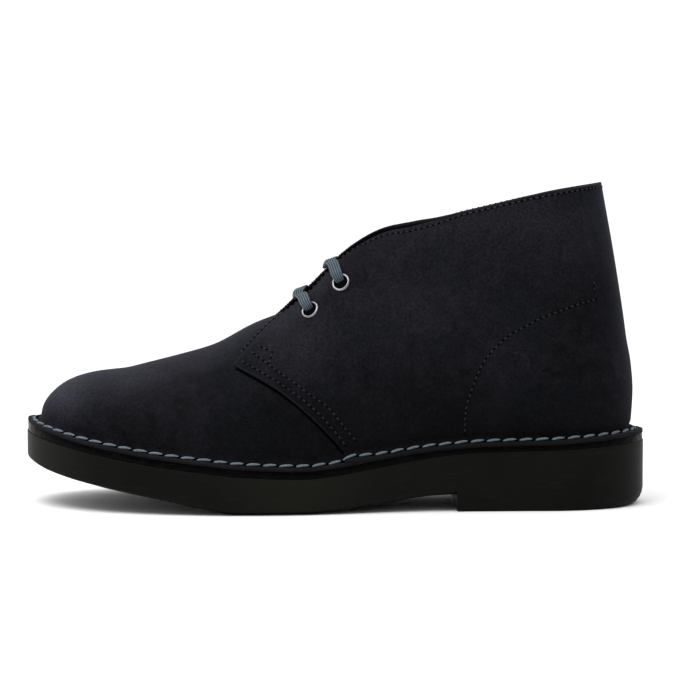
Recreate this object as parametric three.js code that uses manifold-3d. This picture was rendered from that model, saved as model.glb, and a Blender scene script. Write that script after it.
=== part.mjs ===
// A left chukka boot in suede on a one-piece rubber sole with a heel.
// Millimetres. Toe at -X, heel at +X, outer (lateral) side at -Y, inner (medial) side at +Y, +Z up.
// The origin lies on the ground, under the middle of the sole's length and width.

import * as THREE from 'three';
import { mergeVertices } from 'three/addons/utils/BufferGeometryUtils.js';
import Module from 'manifold-3d';

const wasm = await Module();
wasm.setup();

// ---------------------------------------------------------------- driving sizes

const LENGTH = 300;
const TOE_X = -LENGTH / 2;
const HEEL_X = LENGTH / 2;
const BALL_X = -60; // widest place of the sole, where the toe starts to round off
const SEAT_X = 100; // middle of the heel seat, where the back starts to round off
const TOE_ROUND = 2.15; // exponent of the toe's outline: 2 is an ellipse, more is squarer

const GAP = 0.3; // air between pieces that meet
const FLANGE_THICK = 1.8; // edge of the upper that is turned out and stitched down
const FLANGE_INSET = 0.6;
const MIDSOLE_THICK = 3.4;
const MIDSOLE_INSET = 0.2;
const INSOLE_THICK = 2.6;
const INSOLE_INSET = 9.6;

const BREAST_X = 58; // front face of the heel
const BREAST_RUN = 0.6; // length over which the sole steps down into the heel
const SOLE_BEVEL = 4; // how far the forefoot's lower edge is rounded in
const HEEL_BEVEL = 1.2;
const HEEL_BACK_BEVEL = 3.2;
const HEEL_BACK_ROUND = 5;

const FEATHER_INSET = 6.5; // from the sole's outline to the foot of the upper's wall
const TIP_X = -143.3; // foremost point of the upper's wall
const RISE_ROUND = 2.6; // exponent of the toe's side profile
const SWELL_HEIGHT = 25; // height over the feather line at which the wall swells most
const VAMP_WALL = 2;
const SHAFT_WALL = 0.9; // of the lining side: the quarter adds its own thickness outside
const QUARTER_THICK = 1.6;

const EYELET_HOLE = 3.6; // hole through the upper
const EYELET = { rim: 4.45, barrel: 3.3, bore: 2.8, proud: 0.9, depth: 3.2 };
const LACE = { width: 5.6, thick: 1.9, narrow: 4.2, lift: 1.68, bend: 1.5, bendStart: 0.75, underBend: 2.4 };

// The sole, by length: half width, sideways place of its middle line, top of the stitched
// flange, lower end of the side wall, and underside.
const SOLE = [
  { x: -150, half: 52.25, middle: 4.6, top: 41.3, wall: 24.0, ground: 21.0 },
  { x: -138, half: 52.25, middle: 4.3, top: 38.3, wall: 19.3, ground: 17.4 },
  { x: -112, half: 52.25, middle: 2.6, top: 32.9, wall: 14.2, ground: 12.2 },
  { x: -81, half: 52.25, middle: 1.0, top: 28.0, wall: 9.6, ground: 6.4 },
  { x: -60, half: 52.25, middle: 0.0, top: 25.5, wall: 6.3, ground: 2.2 },
  { x: -46, half: 52.0, middle: -0.6, top: 23.9, wall: 4.4, ground: 0.0 },
  { x: -14, half: 48.2, middle: -2.0, top: 22.6, wall: 3.9, ground: 0.0 },
  { x: 3, half: 44.3, middle: -2.5, top: 24.3, wall: 5.0, ground: 1.2 },
  { x: 21, half: 40.0, middle: -2.7, top: 27.3, wall: 7.4, ground: 3.5 },
  { x: 48, half: 35.7, middle: -2.4, top: 31.0, wall: 10.9, ground: 7.1 },
  { x: 70, half: 34.9, middle: -1.6, top: 32.7, wall: 11.6, ground: 7.8 },
  { x: 100, half: 35.0, middle: -0.4, top: 33.4, wall: 11.8, ground: 8.0 },
  { x: 150, half: 35.0, middle: 0.0, top: 35.8, wall: 11.8, ground: 8.0 },
];

// The form under the upper, by length: height of its crown over the flange, sideways place
// of the crown, exponent of the section (1 is an ellipse, less is squarer), fullness a
// quarter, half and three quarters of the way up, and swell over the feather line.
// Behind x = 45 the crown is above the collar and is cut away.
const SECTIONS = [
  { x: -143.3, rise: 27.8, crown: 4.2, square: 0.9, low: 1.0, mid: 1.0, high: 0.95, swell: 0 },
  { x: -130, rise: 33.4, crown: 4.2, square: 0.9, low: 1.02, mid: 1.0, high: 0.93, swell: 0.7 },
  { x: -118, rise: 35.1, crown: 4.2, square: 0.9, low: 1.03, mid: 1.0, high: 0.92, swell: 1.3 },
  { x: -104, rise: 36.1, crown: 4.2, square: 0.93, low: 1.03, mid: 0.99, high: 0.91, swell: 1.7 },
  { x: -92, rise: 39.2, crown: 4.2, square: 0.95, low: 1.03, mid: 0.98, high: 0.91, swell: 2.0 },
  { x: -60, rise: 51.0, crown: 3.8, square: 1.0, low: 1.02, mid: 0.96, high: 0.9, swell: 2.5 },
  { x: -44, rise: 60.8, crown: 3.4, square: 1.05, low: 0.99, mid: 0.92, high: 0.86, swell: 2.5 },
  { x: -27, rise: 70.5, crown: 2.8, square: 1.1, low: 0.955, mid: 0.88, high: 0.8, swell: 2.5 },
  { x: -12, rise: 82.4, crown: 2.2, square: 1.0, low: 0.91, mid: 0.85, high: 0.8, swell: 2.5 },
  { x: 4, rise: 97.4, crown: 1.6, square: 0.85, low: 0.88, mid: 0.84, high: 0.86, swell: 2.5 },
  { x: 20, rise: 105.4, crown: 1.0, square: 0.6, low: 0.894, mid: 0.872, high: 0.92, swell: 2.5 },
  { x: 33, rise: 109.6, crown: 0.7, square: 0.46, low: 0.922, mid: 0.93, high: 0.985, swell: 2.5 },
  { x: 45, rise: 113.1, crown: 0.4, square: 0.35, low: 0.951, mid: 0.993, high: 1.06, swell: 2.5 },
  { x: 70, rise: 125.8, crown: 0, square: 0.22, low: 0.995, mid: 1.087, high: 1.16, swell: 3.0 },
  { x: 100, rise: 141.8, crown: 0, square: 0.2, low: 0.974, mid: 1.06, high: 1.12, swell: 4.0 },
];

// The back seam of the form, by height.
const BACK = [
  { z: 20, x: 141.8 },
  { z: 36, x: 142.1 },
  { z: 55, x: 143.0 },
  { z: 68, x: 142.0 },
  { z: 80, x: 139.8 },
  { z: 92, x: 138.1 },
  { z: 123, x: 133.0 },
  { z: 154, x: 127.3 },
  { z: 180, x: 123.0 },
];

// The collar's line and the quarter's lower front edge, from the side.
const COLLAR = [
  { x: 44.6, z: 138.5 },
  { x: 70, z: 144.6 },
  { x: 106, z: 152.3 },
  { x: 140, z: 156.3 },
];
const QUARTER_FRONT = [
  { x: -48, z: 69.6 },
  { x: -27.2, z: 58.5 },
  { x: -9.7, z: 44.2 },
  { x: 5, z: 27.8 },
  { x: 12, z: 16 },
];

// Half width of the opening between the quarters, by length. It starts at the quarters'
// front corners, and is a throat from THROAT_X on.
const THROAT_X = -24.5;
const THROAT = [
  { x: -48, half: 26 },
  { x: THROAT_X, half: 8 },
  { x: 2, half: 9 },
  { x: 20, half: 13.5 },
  { x: 45, half: 22 },
  { x: 62, half: 23 },
];

const EYELETS = [
  { name: 'lower', x: -11.7, z: 94.4, crossing: -18 },
  { name: 'upper', x: 3, z: 107.6, crossing: -3.3 },
];

// ---------------------------------------------------------------- materials

const material = (color, roughness, metalness = 0) =>
  new THREE.MeshStandardMaterial({ color, roughness, metalness });

const suede = material(0x1c1e26, 0.95);
const rubber = material(0x101012, 0.55);
const edgeRubber = material(0x18181b, 0.35);
const lining = material(0x23242a, 0.8);
const laceFabric = material(0x3c4a58, 0.9);
const nickel = material(0x5c6066, 0.35, 1);

// ---------------------------------------------------------------- small helpers

// Value of one column of a table along another, by a cubic that never overshoots its rows.
function column(rows, name, along = 'x') {
  const at = rows.map((row) => row[along]);
  const value = rows.map((row) => row[name]);
  const last = rows.length - 1;
  const slope = at.slice(1).map((a, i) => (value[i + 1] - value[i]) / (a - at[i]));
  const tangent = at.map((_, i) => {
    const before = slope[Math.max(i - 1, 0)];
    const after = slope[Math.min(i, last - 1)];
    return before * after <= 0 ? 0 : (2 * before * after) / (before + after);
  });
  return (where) => {
    const a = THREE.MathUtils.clamp(where, at[0], at[last]);
    const i = Math.min(at.findLastIndex((start) => start <= a), last - 1);
    const span = at[i + 1] - at[i];
    const t = (a - at[i]) / span;
    const rise = value[i + 1] - value[i];
    const bend = tangent[i] * span + tangent[i + 1] * span - 2 * rise;
    return value[i] + t * (tangent[i] * span + t * (rise - tangent[i] * span - bend + t * bend));
  };
}

const columns = (rows, names) =>
  Object.fromEntries(names.map((name) => [name, column(rows, name)]));

const sole = columns(SOLE, ['half', 'middle', 'top', 'wall', 'ground']);
const form = columns(SECTIONS, ['rise', 'crown', 'square', 'low', 'mid', 'high', 'swell']);
const backAt = column(BACK, 'x', 'z');
const throatAt = column(THROAT, 'half');

const roundOff = (share, exponent) => (1 - Math.min(share, 1) ** exponent) ** (1 / exponent);
const between = (a, b, t) => a + (b - a) * t;

// A closed geometry from triangles that share corners; triangles with no area drop out.
function closedGeometry(points, triangles) {
  const raw = new THREE.BufferGeometry();
  raw.setAttribute('position', new THREE.Float32BufferAttribute(points.flat(), 3));
  raw.setIndex(triangles.flat());
  const welded = mergeVertices(raw, 1e-4);
  const index = Array.from(welded.index.array);
  const kept = [];
  for (let i = 0; i < index.length; i += 3) {
    const [a, b, c] = index.slice(i, i + 3);
    if (a !== b && b !== c && c !== a) kept.push(a, b, c);
  }
  welded.setIndex(kept);
  return welded;
}

// Skins a stack of loops, bottom first. Each loop runs from the toe along the lateral side
// to the heel and back along the medial side, and both ends are closed across the boot.
function skinLoops(loops) {
  const count = loops[0].length;
  const half = count / 2;
  const points = loops.flat();
  const triangles = [];
  const quad = (a, b, c, d) => triangles.push([a, b, c], [a, c, d]);
  for (let row = 0; row < loops.length - 1; row++) {
    for (let i = 0; i < count; i++) {
      const low = row * count;
      const next = (i + 1) % count;
      quad(low + i, low + next, low + count + next, low + count + i);
    }
  }
  const top = (loops.length - 1) * count;
  for (let i = 0; i < half; i++) {
    const across = (count - i) % count;
    const acrossNext = count - i - 1;
    quad(top + i, top + i + 1, top + acrossNext, top + across);
    quad(i, across, acrossNext, i + 1);
  }
  return closedGeometry(points, triangles);
}

function toSolid(geometry) {
  const bare = geometry.clone();
  bare.deleteAttribute('normal');
  bare.deleteAttribute('uv');
  const merged = mergeVertices(bare, 1e-4);
  return new wasm.Manifold(
    new wasm.Mesh({
      numProp: 3,
      vertProperties: Float32Array.from(merged.attributes.position.array),
      triVerts: Uint32Array.from(merged.index.array),
    }),
  );
}

function toGeometry(solid) {
  const mesh = solid.getMesh();
  const geometry = new THREE.BufferGeometry();
  geometry.setAttribute('position', new THREE.BufferAttribute(mesh.vertProperties, 3));
  geometry.setIndex(new THREE.BufferAttribute(mesh.triVerts, 1));
  return geometry;
}

// A straight block with the outline given by points, standing up from z = low to z = high.
function planBlock(points, low, high) {
  const outline = new THREE.Shape(points.map(([x, y]) => new THREE.Vector2(x, y)));
  const block = new THREE.ExtrudeGeometry(outline, { depth: high - low, bevelEnabled: false });
  return toSolid(block.translate(0, 0, low));
}

// A straight block with its outline in the side view, as wide as the whole boot.
function sideBlock(points) {
  const reach = 90;
  const outline = new THREE.Shape(points.map(([x, z]) => new THREE.Vector2(x, z)));
  const block = new THREE.ExtrudeGeometry(outline, { depth: 2 * reach, bevelEnabled: false });
  return toSolid(block.rotateX(Math.PI / 2).translate(0, reach, 0));
}

// ---------------------------------------------------------------- sole, midsole, insole

// Places along the sole, close together where the ends round off.
function soleStations() {
  const toe = Array.from({ length: 14 }, (_, i) =>
    BALL_X - (BALL_X - TOE_X) * Math.cos((Math.PI / 2) * (i / 14)));
  const waist = [BALL_X, -46, -35, -24, -14, -5, 3, 12, 21, 34, 46];
  const breast = [BREAST_X - BREAST_RUN, BREAST_X];
  const seat = [70, 85];
  const heel = Array.from({ length: 12 }, (_, i) =>
    SEAT_X + (HEEL_X - SEAT_X) * Math.sin((Math.PI / 2) * (i / 11)));
  return [...toe, ...waist, ...breast, ...seat, ...heel];
}

// One point of the sole's outline, moved in by an inset.
function planPoint(x, side, inset) {
  const toe = Math.max(0, (BALL_X - x) / (BALL_X - TOE_X));
  const heel = Math.max(0, (x - SEAT_X) / (HEEL_X - SEAT_X));
  const half = (sole.half(x) - inset) * roundOff(toe, TOE_ROUND) * roundOff(heel, 2);
  return [x + inset * toe - inset * heel, sole.middle(x) + side * half];
}

// A layer of the sole from levels, bottom first, each with an inset and a height by length.
function soleLayer(levels) {
  const stations = soleStations();
  const inner = stations.slice(1, -1).reverse();
  const loops = levels.map(({ inset, z }) => {
    const at = (x, side) => [...planPoint(x, side, inset(x)), z(x)];
    return [...stations.map((x) => at(x, -1)), ...inner.map((x) => at(x, 1))];
  });
  return skinLoops(loops);
}

function makeOutsole() {
  const inHeel = (x) => x >= BREAST_X;
  const backShare = (x) => Math.max(0, (x - SEAT_X) / (HEEL_X - SEAT_X)) ** 4;
  const bevel = (x) =>
    inHeel(x) ? between(HEEL_BEVEL, HEEL_BACK_BEVEL, backShare(x)) : SOLE_BEVEL;
  const ground = (x) => (inHeel(x) ? 0 : sole.ground(x));
  const wall = (x) => (inHeel(x) ? between(HEEL_BEVEL, HEEL_BACK_ROUND, backShare(x)) : sole.wall(x));
  const top = (x) => sole.top(x) - FLANGE_THICK - MIDSOLE_THICK - 2 * GAP;
  return soleLayer([
    { inset: bevel, z: ground },
    { inset: (x) => 0.3 * bevel(x), z: (x) => between(ground(x), wall(x), 0.35) },
    { inset: () => 0, z: wall },
    { inset: () => 0, z: top },
  ]);
}

function makeMidsole() {
  const top = (x) => sole.top(x) - FLANGE_THICK - GAP;
  const edge = () => MIDSOLE_INSET;
  return soleLayer([
    { inset: edge, z: (x) => top(x) - MIDSOLE_THICK },
    { inset: edge, z: top },
  ]);
}

function makeInsole() {
  const bottom = (x) => sole.top(x) - FLANGE_THICK;
  const edge = () => INSOLE_INSET;
  return soleLayer([
    { inset: edge, z: bottom },
    { inset: edge, z: (x) => bottom(x) + INSOLE_THICK },
  ]);
}

// ---------------------------------------------------------------- the upper's form

// How full the section is at an angle: 0 at the feather line, a right angle at the crown.
function fullness(x, angle) {
  const rows = [
    { at: 0, value: 1 },
    { at: Math.PI / 8, value: form.low(x) },
    { at: Math.PI / 4, value: form.mid(x) },
    { at: (3 * Math.PI) / 8, value: form.high(x) },
    { at: Math.PI / 2, value: form.high(x) },
  ];
  return column(rows, 'value', 'at')(angle);
}

// One point of the form, grown outwards by a thickness. A station is a place along the
// length, and behind the heel seat an angle around the back.
function formPoint({ x, around }, side, angle, grow) {
  const toe = Math.max(0, (BALL_X - x) / (BALL_X - TIP_X));
  const toeOutline = roundOff(toe, TOE_ROUND);
  const steep = (form.rise(x + 1) + sole.top(x + 1) - form.rise(x - 1) - sole.top(x - 1)) / 2;
  const rise = (form.rise(x) + grow * Math.hypot(1, steep)) * roundOff(toe, RISE_ROUND);
  const height = rise * Math.sin(angle);
  const flat = Math.max(0, Math.cos(angle));
  const wall = (sole.half(x) - FEATHER_INSET + grow) * flat ** form.square(x) * fullness(x, angle);
  const swell = form.swell(x) * (height / SWELL_HEIGHT) * Math.exp(1 - height / SWELL_HEIGHT);
  const half = (wall + swell * Math.sqrt(flat)) * toeOutline * Math.cos(around);
  const middle = between(sole.middle(x), form.crown(x), Math.sin(angle));
  const foot = sole.top(x + (HEEL_X - SEAT_X) * Math.sin(around));
  const z = foot + height;
  const reach = backAt(z) + grow - SEAT_X;
  return [x - grow * toe + reach * Math.sin(around), middle + side * half, z];
}

function formStations() {
  const toe = Array.from({ length: 13 }, (_, i) =>
    BALL_X - (BALL_X - TIP_X) * Math.cos((Math.PI / 2) * (i / 13)));
  const middle = [BALL_X, -52, -44, -36, -29, -22, -15, -8, -1, 6, 13, 20, 28, 36, 45, 54, 63, 73, 86];
  const back = Array.from({ length: 9 }, (_, i) => ({ x: SEAT_X, around: (Math.PI / 2) * (i / 8) }));
  return [...[...toe, ...middle].map((x) => ({ x, around: 0 })), ...back];
}

// The form as a solid, grown by a thickness given by length, its wall carried down below
// the flange's top.
function formSolid(grow, down) {
  const stations = formStations();
  const inner = stations.slice(1, -1).reverse();
  const rows = 13;
  const loop = (angle, drop) => {
    const at = (station, side) => {
      const [x, y, z] = formPoint(station, side, angle, grow(station.x));
      return [x, y, z - drop];
    };
    return [...stations.map((s) => at(s, -1)), ...inner.map((s) => at(s, 1))];
  };
  const angles = Array.from({ length: rows }, (_, i) => (Math.PI / 2) * (i / (rows - 1)));
  return toSolid(skinLoops([loop(0, down), ...angles.map((angle) => loop(angle, 0))]));
}

// Angle at which the form has a half width at a place in front of the heel seat.
function angleAtHalf(x, half, grow) {
  let low = 0.2;
  let high = Math.PI / 2;
  const middle = (angle) => between(sole.middle(x), form.crown(x), Math.sin(angle));
  for (let step = 0; step < 40; step++) {
    const angle = (low + high) / 2;
    const wide = formPoint({ x, around: 0 }, 1, angle, grow)[1] - middle(angle);
    if (wide > half) low = angle;
    else high = angle;
  }
  return (low + high) / 2;
}

// ---------------------------------------------------------------- upper

const wallInside = (x) =>
  -between(VAMP_WALL, SHAFT_WALL, THREE.MathUtils.smoothstep(x, -40, 0));

const throatOutline = (from, to, step) => {
  const places = [];
  for (let x = from; x < to; x += step) places.push(x);
  places.push(to);
  const edge = (side) => (x) => [x, form.crown(x) + side * throatAt(x)];
  return [...places.map(edge(-1)), ...places.reverse().map(edge(1))];
};

const curvePoints = (rows, pieces) => {
  const curve = new THREE.CatmullRomCurve3(rows.map(({ x, z }) => new THREE.Vector3(x, 0, z)));
  return curve.getPoints(pieces).map((p) => [p.x, p.z]);
};

// The layer on the form behind the quarters' lower front edge, less the wedge between
// their front corners, which narrows to the throat.
function quarterSolid() {
  const layer = formSolid(() => QUARTER_THICK, FLANGE_THICK / 2);
  const front = curvePoints(QUARTER_FRONT, 10);
  const behindFront = sideBlock([...front, [200, 16], [200, 230], [QUARTER_FRONT[0].x, 230]]);
  const edge = (side) => [
    [-75, side * 45],
    [-47, form.crown(-47) + side * 25.5],
    [THROAT_X, form.crown(THROAT_X) + side * 8],
    [-20, form.crown(-20) + side * 7.5],
  ];
  const wedge = planBlock([...edge(-1), ...edge(1).reverse()], 40, 230);
  return layer.intersect(behindFront).subtract(wedge);
}

function eyeletFrame(eyelet, side) {
  const target = eyelet.z;
  const at = (x, angle) => new THREE.Vector3(...formPoint({ x, around: 0 }, side, angle, QUARTER_THICK));
  let low = 0.2;
  let high = Math.PI / 2;
  for (let step = 0; step < 40; step++) {
    const angle = (low + high) / 2;
    if (at(eyelet.x, angle).z < target) low = angle;
    else high = angle;
  }
  const angle = (low + high) / 2;
  const point = at(eyelet.x, angle);
  const along = at(eyelet.x + 1, angle).sub(at(eyelet.x - 1, angle));
  const up = at(eyelet.x, angle + 0.02).sub(at(eyelet.x, angle - 0.02));
  const normal = along.cross(up).multiplyScalar(-side).normalize();
  return { point, normal, angle };
}

function makeUpper() {
  const outer = formSolid(() => 0, FLANGE_THICK);
  const inner = formSolid(wallInside, 3 * FLANGE_THICK);
  const flange = toSolid(
    soleLayer([
      { inset: () => FLANGE_INSET, z: (x) => sole.top(x) - FLANGE_THICK },
      { inset: () => FLANGE_INSET, z: sole.top },
    ]));
  const collarLine = curvePoints(COLLAR, 10);
  const aboveCollar = sideBlock([...collarLine, [200, 156.3], [200, 260], [COLLAR[0].x, 260]]);
  const throat = planBlock(throatOutline(THROAT_X + 1.5, 62, 6), 70, 260);
  let solid = outer.add(flange).add(quarterSolid()).subtract(inner);
  solid = solid.subtract(aboveCollar).subtract(throat);
  for (const eyelet of EYELETS) {
    for (const side of [-1, 1]) {
      const { point, normal } = eyeletFrame(eyelet, side);
      const hole = new THREE.CylinderGeometry(EYELET_HOLE, EYELET_HOLE, 16, 16);
      hole.applyQuaternion(new THREE.Quaternion().setFromUnitVectors(new THREE.Vector3(0, 1, 0), normal));
      hole.translate(point.x, point.y, point.z);
      solid = solid.subtract(toSolid(hole));
    }
  }
  return toGeometry(solid);
}

// ---------------------------------------------------------------- tongue

// A sheet under the throat: rows along the boot, each an arc across it.
function makeTongue() {
  const rows = [-40, -34, -28, -22, -16, -10, -4, 2, 8, 14, 20, 26, 31];
  const across = 10;
  const under = (x) => GAP + 0.3 + 0.15 * Math.max(0, x - 8);
  const thick = 2;
  const face = (depth) =>
    rows.map((x) =>
      Array.from({ length: across + 1 }, (_, i) => {
        const share = (2 * i) / across - 1;
        const half = throatAt(Math.max(x, THROAT_X)) + 4.5;
        const grow = wallInside(x) - under(x) - depth;
        const angle = angleAtHalf(x, Math.abs(share) * half, grow);
        return formPoint({ x, around: 0 }, Math.sign(share), angle, grow);
      }));
  const top = face(0);
  const bottom = face(thick);
  return skinSheet(top, bottom);
}

// A closed sheet between two grids of points with the same rows and columns.
function skinSheet(top, bottom) {
  const wide = top[0].length;
  const long = top.length;
  const points = [...top.flat(), ...bottom.flat()];
  const under = wide * long;
  const at = (row, i) => row * wide + i;
  const triangles = [];
  const quad = (a, b, c, d) => triangles.push([a, b, c], [a, c, d]);
  for (let row = 0; row < long - 1; row++) {
    for (let i = 0; i < wide - 1; i++) {
      quad(at(row, i), at(row + 1, i), at(row + 1, i + 1), at(row, i + 1));
      quad(under + at(row, i), under + at(row, i + 1), under + at(row + 1, i + 1), under + at(row + 1, i));
    }
    const edge = wide - 1;
    quad(at(row, 0), under + at(row, 0), under + at(row + 1, 0), at(row + 1, 0));
    quad(at(row, edge), at(row + 1, edge), under + at(row + 1, edge), under + at(row, edge));
  }
  for (let i = 0; i < wide - 1; i++) {
    const end = long - 1;
    quad(at(0, i), at(0, i + 1), under + at(0, i + 1), under + at(0, i));
    quad(at(end, i), under + at(end, i), under + at(end, i + 1), at(end, i + 1));
  }
  return closedGeometry(points, triangles);
}

// ---------------------------------------------------------------- eyelets and lace

function makeEyelet() {
  const { rim, barrel, bore, proud, depth } = EYELET;
  const profile = [
    [bore, -depth], [barrel, -depth], [barrel, GAP], [rim, GAP], [rim, 0.6], [rim - 0.7, proud],
    [bore + 0.5, proud], [bore, 0.5], [bore, -depth],
  ].map(([r, h]) => new THREE.Vector2(r, h));
  return closedLathe(profile, 16);
}

// The lace's way out of an eyelet and over the throat to its middle, on one side. The band
// turns over the eyelet's rim, then follows the quarter.
function laceHalf(eyelet, side) {
  const { point, normal } = eyeletFrame(eyelet, side);
  const startHalf = Math.abs(point.y - form.crown(eyelet.x));
  const onQuarter = (share, lift) => {
    const x = between(eyelet.x, eyelet.crossing, 1 - (1 - share) ** 1.5);
    const angle = angleAtHalf(x, startHalf * (1 - share), QUARTER_THICK + lift);
    return new THREE.Vector3(...formPoint({ x, around: 0 }, side, angle, QUARTER_THICK + lift));
  };
  const toward = onQuarter(0.3, LACE.lift).sub(point).projectOnPlane(normal).normalize();
  const across = new THREE.Vector3().crossVectors(toward, normal).multiplyScalar(side);
  const stops = [];
  const inBore = [-EYELET.depth - 0.5, -1.5, LACE.bendStart];
  for (const depth of inBore) {
    const place = point.clone().addScaledVector(normal, depth);
    stops.push({ place, across, face: toward.clone().negate(), width: LACE.narrow });
  }
  for (const turn of [Math.PI / 6, Math.PI / 3, Math.PI / 2]) {
    const rise = LACE.bendStart + LACE.bend * Math.sin(turn);
    const place = point.clone()
      .addScaledVector(normal, rise)
      .addScaledVector(toward, LACE.bend * (1 - Math.cos(turn)));
    const face = toward.clone()
      .multiplyScalar(-Math.cos(turn))
      .addScaledVector(normal, Math.sin(turn));
    stops.push({ place, across, face, width: LACE.narrow });
  }
  const overRim = point.clone()
    .addScaledVector(normal, LACE.bendStart + LACE.bend)
    .addScaledVector(toward, 4.2);
  stops.push({ place: overRim, across, face: normal.clone(), width: LACE.width });
  for (const share of [0.42, 0.58, 0.74, 0.9]) {
    const place = onQuarter(share, LACE.lift);
    const way = onQuarter(share + 0.03, LACE.lift).sub(onQuarter(share - 0.03, LACE.lift)).normalize();
    const flat = across.clone().projectOnPlane(way).normalize();
    const face = new THREE.Vector3().crossVectors(flat, way).multiplyScalar(side).normalize();
    if (face.z < 0) face.negate();
    stops.push({ place, across: flat, face, width: LACE.width });
  }
  return stops;
}

// The hidden run between the two medial eyelets, inside the quarter.
function laceUnder(lower, upper) {
  const a = eyeletFrame(lower, 1);
  const b = eyeletFrame(upper, 1);
  const along = b.point.clone().sub(a.point).normalize();
  const start = laceHalf(lower, 1)[0];
  const end = laceHalf(upper, 1)[0];
  const bend = LACE.underBend;
  const corner = (from, normal, sign) => [Math.PI / 6, Math.PI / 3, Math.PI / 2].map((turn) => ({
    place: from.place.clone()
      .addScaledVector(normal, -bend * Math.sin(turn))
      .addScaledVector(along, sign * bend * (1 - Math.cos(turn))),
    across: from.across.clone()
      .multiplyScalar(sign * Math.cos(turn))
      .addScaledVector(normal, Math.sin(turn))
      .normalize(),
    face: from.face,
    width: LACE.narrow,
  }));
  return [...corner(start, a.normal, 1), ...corner(end, b.normal, -1).reverse()];
}

// One lace: in at the lateral lower eyelet's inside, over the throat, along inside the
// medial quarter, back over the throat and in at the lateral upper eyelet, where it stops.
function makeLace() {
  const [lower, upper] = EYELETS;
  const bar = (eyelet, side) => [...laceHalf(eyelet, side), ...laceHalf(eyelet, -side).reverse()];
  const wayBack = bar(upper, 1).map((stop) => ({ ...stop, across: stop.across.clone().negate() }));
  return makeBand([...bar(lower, -1), ...laceUnder(lower, upper), ...wayBack]);
}

function closedLathe(profile, segments) {
  const lathe = new THREE.LatheGeometry(profile, segments);
  lathe.deleteAttribute('normal');
  lathe.deleteAttribute('uv');
  return mergeVertices(lathe, 1e-4);
}

// A flat band along a list of stops, each with a place, a side direction across the band
// and a face direction, and a width.
function makeBand(stops) {
  const upperHalf = [[-1, 0.5], [-0.8, 1], [0.8, 1], [1, 0.5]];
  const corner = [...upperHalf, ...upperHalf.map(([a, b]) => [-a, -b])];
  const rings = stops.map(({ place, across, face, width }) =>
    corner.map(([a, b]) =>
      place.clone()
        .addScaledVector(across, (a * width) / 2)
        .addScaledVector(face, (b * LACE.thick) / 2)
        .toArray()));
  const sides = corner.length;
  const points = rings.flat();
  const triangles = [];
  for (let ring = 0; ring < rings.length - 1; ring++) {
    for (let i = 0; i < sides; i++) {
      const next = (i + 1) % sides;
      const low = ring * sides;
      const high = low + sides;
      triangles.push([low + i, high + next, low + next], [low + i, high + i, high + next]);
    }
  }
  const last = (rings.length - 1) * sides;
  for (let i = 1; i < sides - 1; i++) {
    triangles.push([0, i, i + 1], [last, last + i + 1, last + i]);
  }
  return closedGeometry(points, triangles);
}

const boot = new THREE.Group();

function addPiece(name, geometry, look) {
  const mesh = new THREE.Mesh(geometry, look);
  mesh.name = name;
  boot.add(mesh);
  return mesh;
}

addPiece('outsole', makeOutsole(), rubber);
addPiece('midsole', makeMidsole(), edgeRubber);
addPiece('insole', makeInsole(), lining);
addPiece('upper', makeUpper(), suede);
addPiece('tongue', makeTongue(), suede);
for (const eyelet of EYELETS) {
  for (const side of [-1, 1]) {
    const { point, normal } = eyeletFrame(eyelet, side);
    const name = `eyelet_${eyelet.name}_${side < 0 ? 'lateral' : 'medial'}`;
    const mesh = addPiece(name, makeEyelet(), nickel);
    mesh.position.copy(point);
    mesh.quaternion.setFromUnitVectors(new THREE.Vector3(0, 1, 0), normal);
  }
}

addPiece('lace', makeLace(), laceFabric);

export default boot;
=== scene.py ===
# Looks of a left suede chukka boot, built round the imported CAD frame.
# Shapes are worked out in millimetres, in the CAD frame: toe -X, heel +X, lateral side -Y, +Z up.

import math

import bmesh
import bpy
import numpy as np
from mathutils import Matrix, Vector


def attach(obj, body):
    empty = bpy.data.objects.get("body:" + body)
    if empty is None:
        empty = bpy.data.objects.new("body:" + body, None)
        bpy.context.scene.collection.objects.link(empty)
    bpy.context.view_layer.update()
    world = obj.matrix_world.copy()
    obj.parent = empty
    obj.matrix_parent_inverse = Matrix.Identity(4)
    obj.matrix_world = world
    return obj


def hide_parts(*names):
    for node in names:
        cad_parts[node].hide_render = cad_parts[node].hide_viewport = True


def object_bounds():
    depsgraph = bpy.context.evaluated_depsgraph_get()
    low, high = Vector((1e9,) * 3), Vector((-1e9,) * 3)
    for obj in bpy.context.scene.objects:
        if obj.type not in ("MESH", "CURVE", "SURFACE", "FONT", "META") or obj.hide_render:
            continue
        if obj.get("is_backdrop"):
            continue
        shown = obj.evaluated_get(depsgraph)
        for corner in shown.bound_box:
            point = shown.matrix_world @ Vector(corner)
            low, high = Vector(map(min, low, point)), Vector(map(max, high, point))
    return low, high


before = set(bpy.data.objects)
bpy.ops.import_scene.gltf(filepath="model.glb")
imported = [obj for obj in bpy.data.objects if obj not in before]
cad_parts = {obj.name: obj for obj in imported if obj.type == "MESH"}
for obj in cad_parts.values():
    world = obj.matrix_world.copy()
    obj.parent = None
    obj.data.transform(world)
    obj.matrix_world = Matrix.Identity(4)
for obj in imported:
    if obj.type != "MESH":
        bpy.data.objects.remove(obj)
cad_low, cad_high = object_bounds()

MM = 0.001
RIGHT_ANGLE = math.pi / 2
SIDES = {"lateral": -1, "medial": 1}

# ------------ sizes, as in the CAD source

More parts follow.
